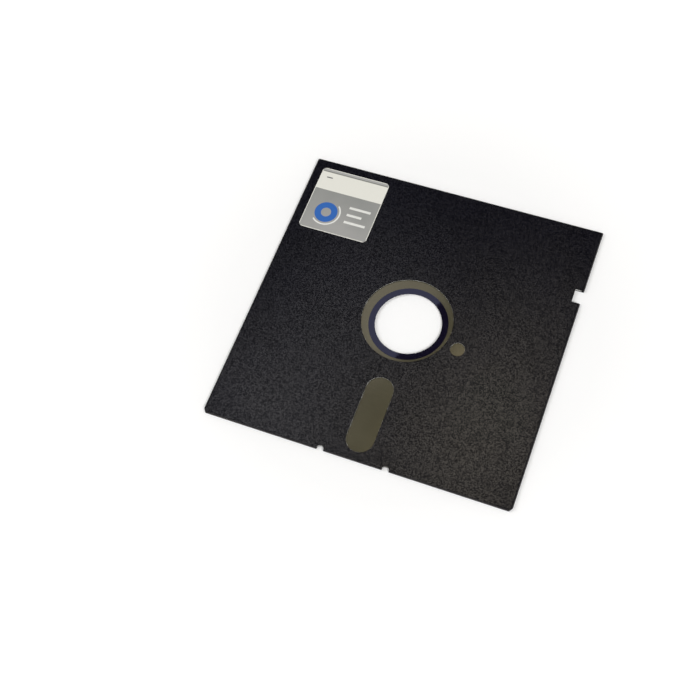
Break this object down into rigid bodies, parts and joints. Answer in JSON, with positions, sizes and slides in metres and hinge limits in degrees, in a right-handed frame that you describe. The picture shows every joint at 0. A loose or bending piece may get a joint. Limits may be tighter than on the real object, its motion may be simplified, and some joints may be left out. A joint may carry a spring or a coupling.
{
  "type": "floppy disk",
  "caption": "Square flexible disk cartridge: a magnetic disc with a stiffened hub hole turns inside a folded, liner-padded plastic jacket with windows, edge notches and a paper label.",
  "frame": {"origin": "middle of the square jacket, in the plane that its flaps rest on", "axes": "+Z out of the label side, +Y towards the label edge, -Y towards the head window and the insertion edge"},
  "size_m": [0.1334, 0.1334, 0.0016],
  "materials": {
    "jacket": "black calendered vinyl sheet, fine matt grain",
    "liner": "pale bonded non-woven wiping fabric",
    "magnetic_disc": "brown oxide coating, smooth and slightly glossy",
    "hub_ring": "dark indigo film ring",
    "label": "coated paper, grey and cream fields"
  },
  "bodies": {
    "jacket": {"jacket": "jacket", "upper_liner": "liner", "lower_liner": "liner", "label": "label"},
    "disc": {"magnetic_disc": "magnetic_disc", "hub_ring": "hub_ring"}
  },
  "joints": [
    {"name": "disc_spin", "type": "hinge", "parent": "jacket", "child": "disc", "pos_m": [0.00095, -0.0012, 0.0009], "axis": [0, 0, 1], "continuous": true}
  ]
}
